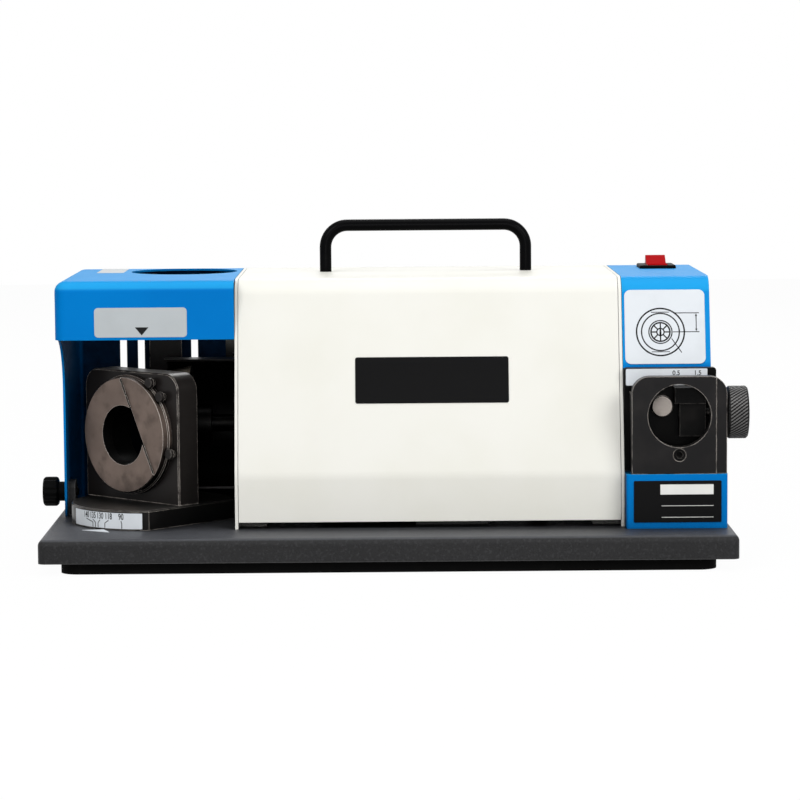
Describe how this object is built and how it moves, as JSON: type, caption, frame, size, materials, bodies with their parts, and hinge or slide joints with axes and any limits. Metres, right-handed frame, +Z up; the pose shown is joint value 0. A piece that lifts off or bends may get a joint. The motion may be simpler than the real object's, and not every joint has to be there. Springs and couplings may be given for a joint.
{
  "type": "drill bit grinder",
  "caption": "Bench drill bit grinder: swivel seat with a cam ring at a hooded wheel, boxed motor with a carrying handle, and a screw-set drill gauge beside it.",
  "frame": {"origin": "middle of the footprint, on the bench", "axes": "+X along the base from the hood to the gauge, +Y to the back, +Z up"},
  "size_m": [0.469, 0.23, 0.2204],
  "materials": {
    "blue_paint": "smooth satin enamel",
    "white_paint": "smooth satin enamel",
    "base_paint": "textured dark grey coat on a casting",
    "rubber": "matt rubber",
    "black_steel": "blackened machined steel",
    "ring_steel": "turned steel",
    "bright_steel": "turned steel",
    "fasteners": "dark zinc",
    "knob": "blackened, knurled rim",
    "handle": "gloss black",
    "rocker_red": "gloss",
    "black_plastic": "moulded",
    "label_white": "printed film",
    "label_black": "printed film",
    "motor_metal": "cast and drawn",
    "lamination": "stacked sheet",
    "winding": "enamelled wire",
    "capacitor": "moulded",
    "terminal": "moulded",
    "wire": "sleeved wire",
    "wheel_core": "turned",
    "abrasive": "plated grit"
  },
  "bodies": {
    "frame": {"base": "base_paint", "bearing_outer_rings": "bright_steel", "box_plate": "label_black", "bulkhead_left": "white_paint", "bulkhead_right": "white_paint", "capacitor": "capacitor", "capacitor_clip": "motor_metal", "centre_cover": "white_paint", "column": "blue_paint", "cord_gland": "black_plastic", "cradle_bolts": "fasteners", "diagram_label": "label_white", "foot_rails": "rubber", "front_box": "blue_paint", "gauge_back_plate": "black_steel", "gauge_body": "black_steel", "gauge_bolts": "fasteners", "gauge_scale": "label_white", "gauge_set_screw": "black_steel", "gauge_stop_pin": "bright_steel", "handle": "handle", "handle_nuts": "fasteners", "hood": "blue_paint", "hood_label": "label_white", "long_screws": "fasteners", "motor_cap_left": "motor_metal", "motor_cap_right": "motor_metal", "motor_cradle": "motor_metal", "motor_shell": "motor_metal", "motor_straps": "motor_metal", "nameplate": "label_black", "panel_screws": "fasteners", "pivot_bolt": "bright_steel", "pointer": "label_white", "short_screws": "fasteners", "stator_core": "lamination", "stator_windings": "winding", "switch_body": "black_plastic", "terminal_block": "terminal", "wheel_guard": "black_steel", "wiring_loom": "wire"},
    "spindle": {"motor_shaft": "bright_steel", "rotor_core": "lamination", "bearing_inner_rings": "bright_steel", "cooling_fan": "black_plastic", "wheel_hub": "bright_steel", "wheel_core": "wheel_core", "abrasive_band": "abrasive", "wheel_nut": "bright_steel"},
    "seat": {"swivel_table": "black_steel", "seat_block": "black_steel", "seat_bolts": "fasteners", "cam_ring": "ring_steel", "ring_screws": "fasteners", "angle_scale": "label_white"},
    "thumb_screw": {"hood_thumb_screw": "bright_steel"},
    "knob": {"gauge_knob": "knob", "gauge_lead_screw": "bright_steel"},
    "jaw": {"gauge_jaw": "black_steel"},
    "rocker": {"switch_rocker": "rocker_red"}
  },
  "joints": [
    {"name": "spindle_spin", "type": "hinge", "parent": "frame", "child": "spindle", "pos_m": [0, 0.05013, 0.0805], "axis": [1, 0, 0], "continuous": true},
    {"name": "point_angle", "type": "hinge", "parent": "frame", "child": "seat", "pos_m": [-0.158, -0.019, 0.03], "axis": [0, 0, 1], "range_deg": [-14, 11]},
    {"name": "thumb_screw_turn", "type": "hinge", "parent": "frame", "child": "thumb_screw", "pos_m": [-0.2265, 0.013, 0.0385], "axis": [-1, 0, 0], "range_deg": [0, 1440]},
    {"name": "gauge_knob_turn", "type": "hinge", "parent": "frame", "child": "knob", "pos_m": [0.228, -0.0662, 0.0973], "axis": [-1, 0, 0], "range_deg": [0, 1800]},
    {"name": "gauge_jaw_slide", "type": "slide", "parent": "frame", "child": "jaw", "axis": [1, 0, 0], "range_m": [0, 0.005]},
    {"name": "rocker_tilt", "type": "hinge", "parent": "frame", "child": "rocker", "pos_m": [0.1867, 0.0675, 0.183], "axis": [1, 0, 0], "range_deg": [-26, 0]}
  ],
  "couplings": [
    {"joint": "gauge_jaw_slide", "follows": "gauge_knob_turn", "m_per_rad": 0.00015915}
  ]
}
